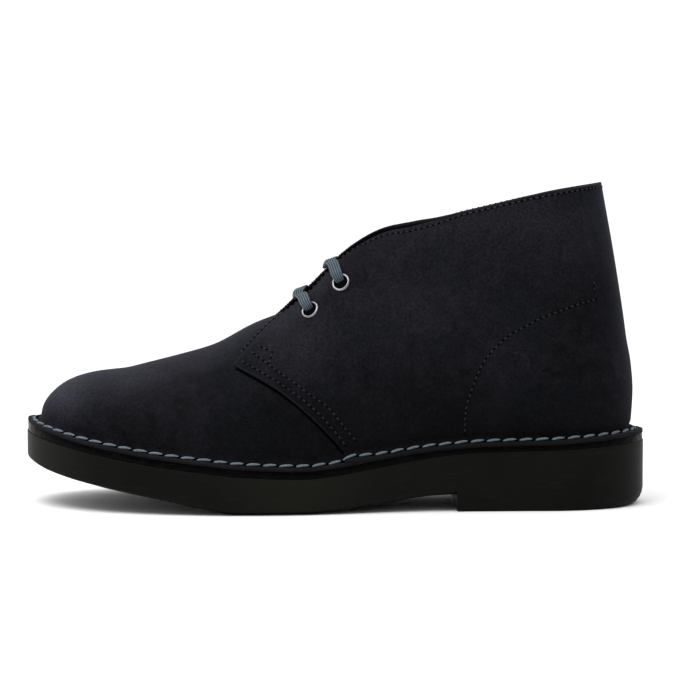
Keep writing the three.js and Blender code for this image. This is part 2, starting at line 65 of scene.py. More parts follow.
TOE_X, HEEL_X = -150.0, 150.0
BALL_X, SEAT_X = -60.0, 100.0
TIP_X = -143.3
TOE_ROUND, RISE_ROUND = 2.15, 2.6
FEATHER_INSET = 6.5
SWELL_HEIGHT = 25.0
QUARTER_OUT = 1.65
THROAT_X = -24.5
THROAT_END = 62       # where the throat's outline has turned into the collar's
COLLAR_FRONT = 44.6
BREAST_X = 58.0
QUARTER_TIP_X = -48.0  # top end of the quarter's front edge
QUARTER_FOOT_X = 5.0   # lower end of it, at the feather line
INSOLE_INSET = 9.6


def table(names, rows):
    """A table with named columns."""
    return {name: np.array([row[i] for row in rows], float) for i, name in enumerate(names.split())}


# The sole, by length: half width, middle line, top of the flange, lower end of the side
# wall, and underside.
SOLE = table("x half middle top wall ground", [
    (-150, 52.25, 4.6, 41.3, 24.0, 21.0),
    (-138, 52.25, 4.3, 38.3, 19.3, 17.4),
    (-112, 52.25, 2.6, 32.9, 14.2, 12.2),
    (-81, 52.25, 1.0, 28.0, 9.6, 6.4),
    (-60, 52.25, 0.0, 25.5, 6.3, 2.2),
    (-46, 52.0, -0.6, 23.9, 4.4, 0.0),
    (-14, 48.2, -2.0, 22.6, 3.9, 0.0),
    (3, 44.3, -2.5, 24.3, 5.0, 1.2),
    (21, 40.0, -2.7, 27.3, 7.4, 3.5),
    (48, 35.7, -2.4, 31.0, 10.9, 7.1),
    (70, 34.9, -1.6, 32.7, 11.6, 7.8),
    (100, 35.0, -0.4, 33.4, 11.8, 8.0),
    (150, 35.0, 0.0, 35.8, 11.8, 8.0),
])

# The form under the upper, by length: crown's height over the flange, sideways place of
# the crown, squareness and fullness of the section, and swell over the feather line.
SECTIONS = table("x rise crown square low mid high swell", [
    (-143.3, 27.8, 4.2, 0.9, 1.0, 1.0, 0.95, 0),
    (-130, 33.4, 4.2, 0.9, 1.02, 1.0, 0.93, 0.7),
    (-118, 35.1, 4.2, 0.9, 1.03, 1.0, 0.92, 1.3),
    (-104, 36.1, 4.2, 0.93, 1.03, 0.99, 0.91, 1.7),
    (-92, 39.2, 4.2, 0.95, 1.03, 0.98, 0.91, 2.0),
    (-60, 51.0, 3.8, 1.0, 1.02, 0.96, 0.9, 2.5),
    (-44, 60.8, 3.4, 1.05, 0.99, 0.92, 0.86, 2.5),
    (-27, 70.5, 2.8, 1.1, 0.955, 0.88, 0.8, 2.5),
    (-12, 82.4, 2.2, 1.0, 0.91, 0.85, 0.8, 2.5),
    (4, 97.4, 1.6, 0.85, 0.88, 0.84, 0.86, 2.5),
    (20, 105.4, 1.0, 0.6, 0.894, 0.872, 0.92, 2.5),
    (33, 109.6, 0.7, 0.46, 0.922, 0.93, 0.985, 2.5),
    (45, 113.1, 0.4, 0.35, 0.951, 0.993, 1.06, 2.5),
    (70, 125.8, 0, 0.22, 0.995, 1.087, 1.16, 3.0),
    (100, 141.8, 0, 0.2, 0.974, 1.06, 1.12, 4.0),
])
BACK = table("z x", [
    (20, 141.8), (36, 142.1), (55, 143.0), (68, 142.0), (80, 139.8), (92, 138.1), (123, 133.0),
    (154, 127.3), (180, 123.0),
])
COLLAR = table("x z", [(COLLAR_FRONT, 138.7), (70, 144.9), (106, 152.6), (140, 156.6)])
QUARTER_FRONT = table("x z", [(QUARTER_TIP_X, 69.6), (-27.2, 58.5), (-9.7, 44.2), (5, 27.8), (12, 16)])
THROAT = table("x half", [(-48, 26), (THROAT_X, 8), (2, 9), (20, 13.5), (45, 22), (THROAT_END, 23)])
EYELETS = {"lower": (-11.7, 94.4, -18.0), "upper": (3.0, 107.6, -3.3)}  # x, z, x of the crossing


def cubic(at, value, where):
    """Cubic through points that never overshoots them. value may hold a row for each place."""
    span = np.diff(at)
    slope = np.diff(value, axis=-1) / span
    before = np.concatenate([slope[..., :1], slope], axis=-1)
    after = np.concatenate([slope, slope[..., -1:]], axis=-1)
    product = before * after
    tangent = np.where(product > 0, 2 * product / np.where(product > 0, before + after, 1), 0)
    where = np.clip(where, at[0], at[-1])
    i = np.clip(np.searchsorted(at, where, side="right") - 1, 0, len(at) - 2)

    def pick(row, place):
        if value.ndim == 1:
            return row[place]
        return np.take_along_axis(row, place[..., None], -1)[..., 0]

    t = (where - at[i]) / span[i]
    rise = pick(value, i + 1) - pick(value, i)
    start, end = pick(tangent, i) * span[i], pick(tangent, i + 1) * span[i]
    bend = start + end - 2 * rise
    return pick(value, i) + t * (start + t * (rise - start - bend + t * bend))


def column(rows, name, along="x"):
    return lambda where: cubic(rows[along], rows[name], np.asarray(where, float))


sole_half, sole_middle, sole_top, sole_wall, sole_ground = (
    column(SOLE, name) for name in ("half", "middle", "top", "wall", "ground"))
form_rise, form_crown, form_square, form_swell = (
    column(SECTIONS, name) for name in ("rise", "crown", "square", "swell"))
form_low, form_mid, form_high = (column(SECTIONS, name) for name in ("low", "mid", "high"))
back_at = column(BACK, "x", "z")
collar_at = column(COLLAR, "z")
throat_at = column(THROAT, "half")


def round_off(share, exponent):
    return (1 - np.clip(share, 0, 1) ** exponent) ** (1 / exponent)


def mix(a, b, t):
    return a + (b - a) * t


def smooth_step(a, b, x):
    t = np.clip((np.asarray(x, float) - a) / (b - a), 0, 1)
    return t * t * (3 - 2 * t)


def fullness(x, angle):
    at = np.linspace(0, RIGHT_ANGLE, 5)
    value = np.stack([np.ones_like(x), form_low(x), form_mid(x), form_high(x), form_high(x)], axis=-1)
    return cubic(at, value, angle)


# ------------ the upper's form

def form_point(u, side, angle, grow=0.0, flare=0.0):
    """Points of the form. u is the place along the length, and behind the heel seat it goes round
    the back to HEEL_X. angle is 0 at the feather line and a right angle at the crown."""
    given = (np.asarray(a, float) for a in (u, side, angle, grow, flare))
    u, side, angle, grow, flare = np.broadcast_arrays(*given)
    x = np.minimum(u, SEAT_X)
    around = np.clip((u - SEAT_X) / (HEEL_X - SEAT_X), 0, 1) * RIGHT_ANGLE
    toe = np.clip((BALL_X - x) / (BALL_X - TIP_X), 0, 1)
    steep = (form_rise(x + 1) + sole_top(x + 1) - form_rise(x - 1) - sole_top(x - 1)) / 2
    rise = (form_rise(x) + grow * np.hypot(1, steep)) * round_off(toe, RISE_ROUND)
    height = rise * np.sin(angle)
    flat = np.clip(np.cos(angle), 0, 1)
    out = grow + flare
    wall = (sole_half(x) - FEATHER_INSET + out) * flat ** form_square(x) * fullness(x, angle)
    swell = form_swell(x) * (height / SWELL_HEIGHT) * np.exp(1 - height / SWELL_HEIGHT)
    half = (wall + swell * np.sqrt(flat)) * round_off(toe, TOE_ROUND) * np.cos(around)
    middle = mix(sole_middle(x), form_crown(x), np.sin(angle))
    foot = sole_top(x - flare * toe + (HEEL_X - SEAT_X + flare) * np.sin(around))
    z = foot + height
    reach = back_at(z) + out - SEAT_X
    return np.stack([x - out * toe + reach * np.sin(around), middle + side * half, z], axis=-1)


def form_height(u):
    """Height of the crown over the flange."""
    x = np.minimum(u, SEAT_X)
    toe = np.clip((BALL_X - x) / (BALL_X - TIP_X), 0, 1)
    return form_rise(x) * round_off(toe, RISE_ROUND)


def solve_angle(u, reached):
    """The angle where reached(point, angle) turns true, on the way up, by halving."""
    low = np.full(np.shape(u), 0.0)
    high = np.full(np.shape(u), RIGHT_ANGLE)
    for _ in range(40):
        angle = (low + high) / 2
        over = reached(form_point(u, 1, angle, QUARTER_OUT), angle)
        low, high = np.where(over, low, angle), np.where(over, angle, high)
    return (low + high) / 2


def angle_at_half(u, half):
    def narrower(point, angle):
        x = np.minimum(u, SEAT_X)
        return point[..., 1] - mix(sole_middle(x), form_crown(x), np.sin(angle)) < half
    return solve_angle(u, narrower)


def angle_at_height(u, z):
    return solve_angle(u, lambda point, angle: point[..., 2] > z)


# ------------ meshes from grids

def new_mesh(name, points, faces, material, attributes=(), uv=None):
    """A mesh object from points in millimetres, with the faces' materials and any named
    numbers for each point."""
    mesh = bpy.data.meshes.new(name)
    mesh.from_pydata((np.asarray(points) * MM).tolist(), [], faces)
    for key, values in dict(attributes).items():
        layer = mesh.attributes.new(key, "FLOAT", "POINT")
        layer.data.foreach_set("value", np.asarray(values, np.float32))
    if uv is not None:
        layer = mesh.uv_layers.new(name="UVMap")
        loops = np.empty(len(mesh.loops), np.int32)
        mesh.loops.foreach_get("vertex_index", loops)
        layer.data.foreach_set("uv", np.asarray(uv, np.float32)[loops].ravel())
    mesh.polygons.foreach_set("use_smooth", [True] * len(mesh.polygons))
    mesh.materials.append(material)
    piece = bpy.data.objects.new(name, mesh)
    bpy.context.collection.objects.link(piece)
    return piece


WELD_DISTANCE = 0.002
LEAST_EDGE = 0.0005


def weld(piece):
    """Merges points that lie together and drops faces with no area."""
    bm = bmesh.new()
    bm.from_mesh(piece.data)
    bmesh.ops.remove_doubles(bm, verts=bm.verts, dist=WELD_DISTANCE * MM)
    bmesh.ops.dissolve_degenerate(bm, edges=bm.edges, dist=LEAST_EDGE * MM)
    bmesh.ops.recalc_face_normals(bm, faces=bm.faces)
    bm.to_mesh(piece.data)
    bm.free()
    piece.data.update()


def grid_faces(rows, columns, start=0, flip=False):
    """Quads of a grid of points, row after row."""
    faces = []
    for r in range(rows - 1):
        for c in range(columns - 1):
            a = start + r * columns + c
            quad = (a, a + 1, a + columns + 1, a + columns)
            faces.append(quad[::-1] if flip else quad)
    return faces


def tube_faces(rows, around, start=0, closed=False):
    """Quads of a tube of points, ring after ring. A closed one joins its last ring to its first."""
    faces = []
    for r in range(rows if closed else rows - 1):
        low = start + r * around
        high = start + (r + 1) % rows * around
        for j in range(around):
            k = (j + 1) % around
            faces.append((low + j, low + k, high + k, high + j))
    return faces


def capped_tube_faces(rows, around, start=0):
    """A tube's quads, and one face over each end."""
    first = range(start, start + around)
    last = range(start + (rows - 1) * around, start + rows * around)
    return [*tube_faces(rows, around, start), tuple(first)[::-1], tuple(last)]


def round_the_heel(lateral, medial):
    """One grid from both sides' grids, which meet at the back seam."""
    return np.concatenate([lateral, medial[:, ::-1][:, 1:]], axis=1)


# Painted light on the suede: painted highlights at the toe, throat and shaft top, and painted shade low down
# (the negative entry); the toe's spot is partly a real scuff. Strength, then x and z of the middle, then
# reach along x and z.
PAINTED_LIGHT_SPOTS = [
    (0.95, -131, 56, 12, 12),
    (0.3, -108, 62, 22, 12),
    (0.2, -20, 84, 16, 14),
    (0.22, 35, 100, 38, 26),
    (0.36, 80, 138, 52, 15),
    (0.12, 105, 112, 26, 24),
    (0.12, -15, 70, 20, 16),
    (0.1, 90, 62, 22, 18),
    (0.12, 138, 95, 5, 40),
    (-0.42, 40, 36, 120, 19),
]
RIDGE_HIGHLIGHT = 0.3  # painted highlight along the vamp's ridge
SHADE_SHARE = 0.8   # how much of the painted shade shows


def painted_light_at(points):
    """Painted light on the suede at points: a painted highlight above 0, painted shade below 0."""
    x, z = points[..., 0], points[..., 2]
    # painted highlight along the ridge, where the light from above falls
    ridge = smooth_step(14, 3, sole_top(x) + form_rise(np.minimum(x, SEAT_X)) - z) * (x < 0)
    total = RIDGE_HIGHLIGHT * ridge
    for strength, at_x, at_z, wide, high in PAINTED_LIGHT_SPOTS:
        total = total + strength * np.exp(-((x - at_x) / wide) ** 2 - ((z - at_z) / high) ** 2)
    return np.clip(np.where(total < 0, total * SHADE_SHARE, total), -0.3, 1)


def thick_sheet(name, outer, inner, material, attributes=()):
    """A closed sheet between two grids of points with the same rows and columns."""
    rows, columns = outer.shape[:2]
    count = rows * columns
    faces = grid_faces(rows, columns) + grid_faces(rows, columns, count, flip=True)
    index = np.arange(count).reshape(rows, columns)
    border = [*index[0], *index[1:, -1], *index[-1, -2::-1], *index[-2:0:-1, 0]]
    for a, b in zip(border, [*border[1:], border[0]]):
        faces.append((int(b), int(a), int(a) + count, int(b) + count))
    points = np.concatenate([outer.reshape(-1, 3), inner.reshape(-1, 3)])
    # painted highlight and painted shade on the suede, held for each point
    attributes = {"painted_light": painted_light_at(outer), **dict(attributes)}
    doubled = {key: np.concatenate([values.ravel(), values.ravel()]) for key, values in attributes.items()}
    # painted shadow: the inner face's edge rows are darkened, as the shade under a cut edge
    if "edge" in doubled:
        doubled["gap"] = np.concatenate([np.zeros(count), attributes["edge"].ravel()])
    piece = new_mesh(name, points, faces, material, doubled)
    weld(piece)
    return piece


# ------------ material helpers

def srgb(red, green, blue):
    """A colour given as 0 to 255 on a screen, in Blender's linear scale."""
    scale = [c / 255 for c in (red, green, blue)]
    return tuple(c / 12.92 if c <= 0.04045 else ((c + 0.055) / 1.055) ** 2.4 for c in scale) + (1.0,)


class Tree:
    """Short names for making nodes."""

    def __init__(self, tree):
        self.tree = tree

    def feed(self, socket, value):
        """Links a value to a socket, or sets it there when it is a plain number or colour."""
        if isinstance(value, bpy.types.NodeSocket):
            self.tree.links.new(value, socket)
        else:
            socket.default_value = value

    def add(self, kind, inputs=(), **settings):
        node = self.tree.nodes.new("ShaderNode" + kind)
        for key, value in settings.items():
            setattr(node, key, value)
        for key, value in dict(inputs).items():
            self.feed(node.inputs[key], value)
        return node

    def math(self, operation, a, b=0.0):
        node = self.add("Math", {0: a, 1: b}, operation=operation)
        return node.outputs["Value"]

    def remap(self, value, *limits):
        """A value moved from one range to another."""
        keys = ("From Min", "From Max", "To Min", "To Max")
        return self.add("MapRange", {"Value": value, **dict(zip(keys, limits))}).outputs["Result"]


class Nodes(Tree):
    """A new material and its nodes."""

    def __init__(self, name):
        self.material = bpy.data.materials.new(name)
        self.material.use_nodes = True
        super().__init__(self.material.node_tree)
        self.shader = self.tree.nodes["Principled BSDF"]

    def painted(self, name):
        """A number that the mesh holds for each point."""
        return self.add("Attribute", attribute_name=name).outputs["Fac"]

    def place(self):
        return self.add("TexCoord").outputs["Object"]

    def noise(self, scale, detail=3.0, roughness=0.55, place=None, distortion=0.0):
        node = self.add("TexNoise", {"Scale": scale, "Detail": detail, "Roughness": roughness,
                                     "Distortion": distortion, "Vector": place or self.place()})
        return node.outputs["Fac"]

    def ramp(self, value, *stops):
        """Colours or greys at positions: stops are (position, colour)."""
        node = self.add("ValToRGB", {"Fac": value})
        elements = node.color_ramp.elements
        while len(elements) < len(stops):
            elements.new(0.5)
        for element, (position, colour) in zip(elements, stops):
            element.position = position
            element.color = colour if isinstance(colour, tuple) else (colour, colour, colour, 1)
        return node.outputs["Color"]

    def blend(self, factor, a, b, mode="MIX"):
        node = self.add("MixRGB", {"Fac": factor, "Color1": a, "Color2": b}, blend_type=mode)
        return node.outputs["Color"]

    def bump(self, height, strength, distance_mm, normal=None):
        inputs = {"Height": height, "Strength": strength, "Distance": distance_mm * MM}
        if normal is not None:
            inputs["Normal"] = normal
        return self.add("Bump", inputs).outputs["Normal"]

    def set(self, **inputs):
        for key, value in inputs.items():
            self.feed(self.shader.inputs[key.replace("_", " ")], value)
        return self.material


def suede(name, dark, light):
    """Suede: soft mottling, short nap in patches, and painted highlight and painted shade from the mesh's
    painted light.
    """
    n = Nodes(name)
    patches = n.noise(24, 4, 0.62, distortion=0.8)
    strokes = n.noise(170, 3, 0.65)
    nap = n.noise(850, 3, 0.8)
    tone = n.math("ADD", n.math("MULTIPLY", patches, 0.62), n.math("MULTIPLY", strokes, 0.38))
    base = n.ramp(tone, (0.34, dark), (0.66, light))
    teal = n.blend(n.ramp(n.noise(38, 2), (0.45, 0.0), (0.62, 0.38)), base, srgb(8, 17, 20))
    painted_light = n.painted("painted_light")
    # painted highlight: paler navy where the painted light is above 0
    lit_and_shaded = n.blend(painted_light, teal, srgb(50, 50, 57))
    # painted shade: near black where the painted light is below 0
    shade = n.math("MULTIPLY", painted_light, -2.2)
    lit_and_shaded = n.blend(shade, lit_and_shaded, srgb(9, 9, 9))
    flecked = n.blend(1.0, lit_and_shaded, n.ramp(nap, (0.34, 0.35), (0.66, 1.0)), "MULTIPLY")
    edge = n.painted("edge")
    colour = n.blend(edge, flecked, srgb(31, 30, 33))
    # painted shadow under the cut edges, near black
    gap = n.painted("gap")
    colour = n.blend(gap, colour, srgb(1, 1, 2))
    normal = n.bump(nap, 0.6, 0.25, n.bump(strokes, 0.25, 0.5))
    return n.set(Base_Color=colour, Roughness=0.92, Normal=normal, Sheen_Weight=0.1,
                 Sheen_Roughness=0.4, Sheen_Tint=srgb(170, 175, 200), Specular_IOR_Level=0.04)


def rubber(name, colour, roughness, grain, gloss=0.07):
    """Moulded rubber: fine grain, faint clouds, long pale scuffs, and painted light where the mesh holds it.
    """
    n = Nodes(name)
    cloud = n.noise(30, 3)
    fine = n.noise(900, 2)
    stretched = n.add("Mapping", {"Vector": n.place(), "Scale": (0.35, 0.35, 2.2)}).outputs["Vector"]
    scuffs = n.ramp(n.noise(260, 4, 0.7, place=stretched), (0.56, 0.0), (0.75, 1.0))
    paler = tuple(c * 1.9 for c in colour[:3]) + (1,)
    painted_light = n.painted("painted_light")
    tone = n.blend(n.ramp(cloud, (0.3, 0.0), (0.7, 1.0)), colour, paler)
    scuffed = tuple(c * 2.6 + 0.002 for c in colour[:3]) + (1,)
    tone = n.blend(n.math("MULTIPLY", scuffs, grain), tone, scuffed)
    # painted light: paler olive where the mesh's painted light is high
    tone = n.blend(painted_light, tone, srgb(29, 30, 23))
    rough = n.math("ADD", roughness - 0.06, n.math("MULTIPLY", cloud, 0.12))
    normal = n.bump(scuffs, grain * 0.6, 0.2, n.bump(fine, grain, 0.12))
    return n.set(Base_Color=tone, Roughness=rough, Normal=normal, Specular_IOR_Level=gloss)


def thread(name, dark, light):
    n = Nodes(name)
    twist = n.noise(2200, 2)
    colour = n.ramp(twist, (0.3, dark), (0.7, light))
    return n.set(Base_Color=colour, Roughness=0.6, Normal=n.bump(twist, 0.5, 0.12), Sheen_Weight=0.03,
                 Specular_IOR_Level=0.08)


def woven(name, dark, light):
    """Flat woven lace: u runs along it in millimetres, v across it."""
    n = Nodes(name)
    uv = n.add("UVMap", uv_map="UVMap").outputs["UV"]
    across = n.add("SeparateXYZ", {"Vector": uv}).outputs["Y"]
    rib = n.math("ABSOLUTE", n.math("COSINE", n.math("MULTIPLY", across, math.pi * 2.5 / 2.85)))
    weave = n.add("TexWave", {"Vector": uv, "Scale": 0.7, "Distortion": 0.3}, wave_type="BANDS",
                  bands_direction="DIAGONAL").outputs["Fac"]
    fine = n.noise(2500, 2)
    tone = n.math("ADD", n.math("MULTIPLY", rib, 0.62), n.math("MULTIPLY", weave, 0.22))
    tone = n.math("ADD", tone, n.math("MULTIPLY", fine, 0.16))
    normal = n.bump(weave, 0.5, 0.2, n.bump(rib, 0.6, 0.35))
    return n.set(Base_Color=n.ramp(tone, (0.3, dark), (0.85, light)), Roughness=0.85, Normal=normal,
                 Sheen_Weight=0.05, Specular_IOR_Level=0.1)


def metal(name, colour):
    n = Nodes(name)
    wear = n.noise(400, 3)
    darker = tuple(c * 0.75 for c in colour[:3]) + (1,)
    return n.set(Base_Color=n.ramp(wear, (0.3, darker), (0.7, colour)), Metallic=1.0,
                 Roughness=n.math("ADD", 0.22, n.math("MULTIPLY", wear, 0.16)))


SUEDE = suede("suede_navy", srgb(8, 8, 10), srgb(31, 29, 35))
LINING = suede("suede_inside", srgb(22, 21, 25), srgb(36, 35, 40))
OUTSOLE = rubber("rubber_outsole", srgb(7, 7, 6), 0.5, 0.8, 0.06)
MIDSOLE = rubber("rubber_midsole", srgb(1, 1, 1), 0.3, 0.9, 0.04)
WELT_THREAD = thread("thread_slate", srgb(66, 75, 82), srgb(108, 118, 126))
FINE_THREAD = thread("thread_navy", srgb(20, 20, 24), srgb(40, 40, 46))
# near black for the painted shade in holes and openings
HOLE_SHADE = rubber("hole_shadow", srgb(5, 5, 6), 0.9, 0.0, 0.0)
# near black for strips that stand in for shade
SHADE_STRIP = rubber("groove_shadow", srgb(1, 2, 3), 0.9, 0.0, 0.0)
LACE = woven("lace_slate", srgb(18, 25, 31), srgb(82, 96, 106))
NICKEL = metal("nickel", srgb(132, 133, 138))

# ------------ sole, midsole, insole

def plan_point(x, side, inset):
    """The sole's outline, moved in by an inset."""
    toe = np.clip((BALL_X - x) / (BALL_X - TOE_X), 0, 1)
    heel = np.clip((x - SEAT_X) / (HEEL_X - SEAT_X), 0, 1)
    half = (sole_half(x) - inset) * round_off(toe, TOE_ROUND) * round_off(heel, 2)
    return np.stack([x + inset * (toe - heel), sole_middle(x) + side * half], axis=-1)


def toe_stations(tip_x, count):
    """Places along the length from the tip back to the ball, closest together at the tip."""
    return BALL_X - (BALL_X - tip_x) * np.cos(np.linspace(0, RIGHT_ANGLE, count))


def sole_stations(breast):
    """Places along the sole, with more of them at the heel's front face if it has one."""
    middle = np.arange(BALL_X, SEAT_X, 1.6)
    heel = SEAT_X + (HEEL_X - SEAT_X) * np.sin(np.linspace(0, RIGHT_ANGLE, 48))
    places = np.concatenate([toe_stations(TOE_X, 64)[:-1], middle, heel])
    if breast:
        step_down = [BREAST_X - 1.1, BREAST_X - 0.6, BREAST_X - 0.25, BREAST_X, BREAST_X + 0.4]
        places = np.sort(np.concatenate([places[np.abs(places - BREAST_X) > 1.4], step_down]))
    return places


def painted_light_on_sole(x):
    """Painted light on the outsole: paler at the toe and under the middle of the foot."""
    return 0.36 * smooth_step(-112, -142, x) + 0.42 * np.exp(-((x + 16) / 26) ** 2)


def sole_layer(name, levels, material, breast=False):
    """A closed layer of the sole from levels, bottom first, each with an inset and a height."""
    x = sole_stations(breast)
    loops = []
    for inset, z in levels:
        depth = inset(x) if callable(inset) else np.full_like(x, inset)
        height = z(x)
        lateral, medial = (np.column_stack([plan_point(x, side, depth), height]) for side in (-1, 1))
        loops.append(np.concatenate([lateral, medial[-2:0:-1]]))
    count, rows = len(loops[0]), len(loops)
    faces = tube_faces(rows, count)
    top = (rows - 1) * count
    for i in range(len(x) - 1):
        across, across_next = (count - i) % count, count - i - 1
        faces.append((top + i, top + i + 1, top + across_next, top + across))
        faces.append((i, across, across_next, i + 1))
    points = np.concatenate(loops)
    # painted light on the outsole only
    attributes = {"painted_light": painted_light_on_sole(points[:, 0])} if material == OUTSOLE else {}
    piece = new_mesh(name, points, faces, material, attributes)
    weld(piece)
    return piece


def sharpen(piece, degrees):
    """Smooth shading, apart from edges sharper than an angle."""
    bpy.context.view_layer.objects.active = piece
    piece.select_set(True)
    bpy.ops.object.shade_smooth_by_angle(angle=math.radians(degrees))
    piece.select_set(False)


def outsole_top(x):
    return sole_top(x) - mix(5.9, 4.9, smooth_step(15, 70, x))


def make_outsole():
    """The rubber unit, with its heel and rounded lower edge."""
    in_heel = lambda x: x >= BREAST_X - 0.1
    back = lambda x: np.clip((x - SEAT_X) / (HEEL_X - SEAT_X), 0, 1) ** 4
    front = lambda x: mix(7.0, 3.0, smooth_step(-149, -120, x)) + 4.0 * smooth_step(-110, -50, x)
    bevel = lambda x: np.where(in_heel(x), mix(1.2, 6.5, back(x)), front(x))
    ground = lambda x: np.where(in_heel(x), 0.0, sole_ground(x))
    wall = lambda x: np.where(in_heel(x), mix(1.2, 8.5, back(x)), sole_wall(x))
    levels = []
    for turn in np.linspace(0, RIGHT_ANGLE, 6):
        share, rise = 1 - math.sin(turn), 1 - math.cos(turn)
        levels.append((lambda x, s=share: bevel(x) * s, lambda x, r=rise: mix(ground(x), wall(x), r)))
    levels.append((0.0, lambda x: wall(x) + 0.3))
    levels.append((0.0, lambda x: outsole_top(x) - 0.12))
    levels.append((0.12, outsole_top))
    outsole = sole_layer("outsole_body", levels, OUTSOLE, breast=True)
    sharpen(outsole, 35)
    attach(outsole, "root")
    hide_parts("outsole")


def midsole_top(x):
    return sole_top(x) - 2.25 + 0.7 * smooth_step(-118, -142, x) + 0.6 * smooth_step(110, 145, x)


def rough_edge(x):
    """Hand-trimmed waviness of the midsole's edge."""
    return 0.22 * np.sin(1.7 * x) * np.sin(0.53 * x + 1) + 0.1 * np.sin(3.1 * x + 2)


def make_midsole():
    low = lambda x: outsole_top(x) + 0.02
    midsole = sole_layer("midsole_edge", [
        (0.4, low),
        (lambda x: 0.45 + rough_edge(x), lambda x: mix(low(x), midsole_top(x), 0.35)),
        (lambda x: 0.5 + rough_edge(x + 9), lambda x: mix(low(x), midsole_top(x), 0.7)),
        (0.8, midsole_top),
    ], MIDSOLE)
    sharpen(midsole, 35)
    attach(midsole, "root")
    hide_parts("midsole")


def make_insole():
    low = lambda x: sole_top(x) - 1.8
    insole = sole_layer("insole_board", [
        (INSOLE_INSET, low),
        (INSOLE_INSET, lambda x: low(x) + 2.2),
        (INSOLE_INSET + 0.6, lambda x: low(x) + 2.6),
    ], LINING)
    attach(insole, "root")
    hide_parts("insole")


# ------------ upper

FLARE = 3.0         # how far the wall's foot turns out into the flange
FLARE_HEIGHT = 3.6
FLANGE_REACH = 6.3  # from the feather line to the flange's cut edge
FLANGE_DROOP = 0.8
FLANGE_EDGE = 1.35  # thickness of the suede's turned-out edge
FLANGE_LIFT = 0.25  # of the quarter's flange
FLANGE_STEP = 1.3   # how much higher it lies where it covers the vamp's
EDGE_TONE = 0.35    # paler cut edge of a flange
TONGUE_THICK = 1.8
LINING_THICK = 0.9
LINING_START = 14
FOOT_ROWS = [6.3, 6.2, 5.6, 4.6, 3.8, 3.0]  # outward places of the flange's rows


def flare_at(height):
    """The turned-out foot of the wall: how far it stands out at a height over the flange."""
    part = np.clip(1 - height / FLARE_HEIGHT, 0, 1)
    return FLARE * (1 - np.sqrt(np.clip(1 - part ** 2, 0, 1)))


def upper_surface(u, side, angle, grow, foot=0.0):
    """Outer or inner face of the upper. foot is 0 on the wall, and how far out on the flange."""
    height = form_height(u) * np.sin(angle)
    on_flange = foot > 0
    behind = 1.3 * smooth_step(112, 145, u) * np.clip((foot - 4.2) / 2, 0, 1)
    flare = np.where(on_flange, foot + behind, flare_at(height))
    dent = crease(u, side, angle)
    on_wall = grow * smooth_step(0, 5, height) + dent * smooth_step(2, 10, height)
    sideways = np.where(on_flange, 0.0, on_wall)
    point = form_point(u, side, angle, sideways, flare)
    out = np.clip((foot - FLARE) / (FLANGE_REACH - FLARE), 0, 1)
    droop = FLANGE_DROOP * smooth_step(-142, -112, u) * (1 - 0.9 * smooth_step(105, 145, u))
    lift = np.where(on_flange, grow - droop * out ** 1.5, grow * (1 - smooth_step(0, 3, height)))
    point[..., 2] += lift
    return point


def step_over_vamp(u):
    """How much higher the quarter's flange lies at its front, over the vamp's."""
    return FLANGE_STEP * (1 - smooth_step(8, 22, u))


# Where the medial throat edge stands higher than the lateral one: place, reach and height.
THROAT_RISES = [(14, 18, 1.7), (-18, 8, 2.4), (-8, 5, 1.1), (36, 10, 1.1)]


def quarter_surface(u, side, angle, grow):
    """The quarter's face, with the medial throat edge a little higher than the lateral one."""
    u, side, angle = np.broadcast_arrays(*(np.asarray(a, float) for a in (u, side, angle)))
    point = upper_surface(u, side, angle, grow)
    rise = sum(size * np.exp(-((u - place) / width) ** 2) for place, width, size in THROAT_RISES)
    point[..., 2] += np.where(side > 0, rise, 0.0) * smooth_step(0.75, 1.25, angle)
    return point


def crease(u, side, angle):
    """Soft troughs and ridges of the worn-in suede, in millimetres outwards."""
    z = form_height(u) * np.sin(angle)
    seam = -0.5 * np.exp(-((u - HEEL_X) / 0.9) ** 2)
    ankle = -0.9 * np.exp(-(((u - 40) * 0.35 - (z - 62)) / 22) ** 2 - ((u - 45) / 40) ** 2)
    heel = 0.5 * np.exp(-((u - 95) / 22) ** 2 - ((z - 45) / 20) ** 2)
    vamp = -0.5 * np.exp(-((u + 62) / 9) ** 2 - ((angle - 1.15) / 0.45) ** 2)
    return ankle + heel + vamp + seam


def tongue_depth(u, angle):
    """How far the tongue lies under the form: it sinks in the throat and not at the foot."""
    depth = -2.6 * smooth_step(-40, -14, u) - 0.2 * np.clip(u - 10, 0, None)
    return depth * smooth_step(0.3, 0.95, angle)


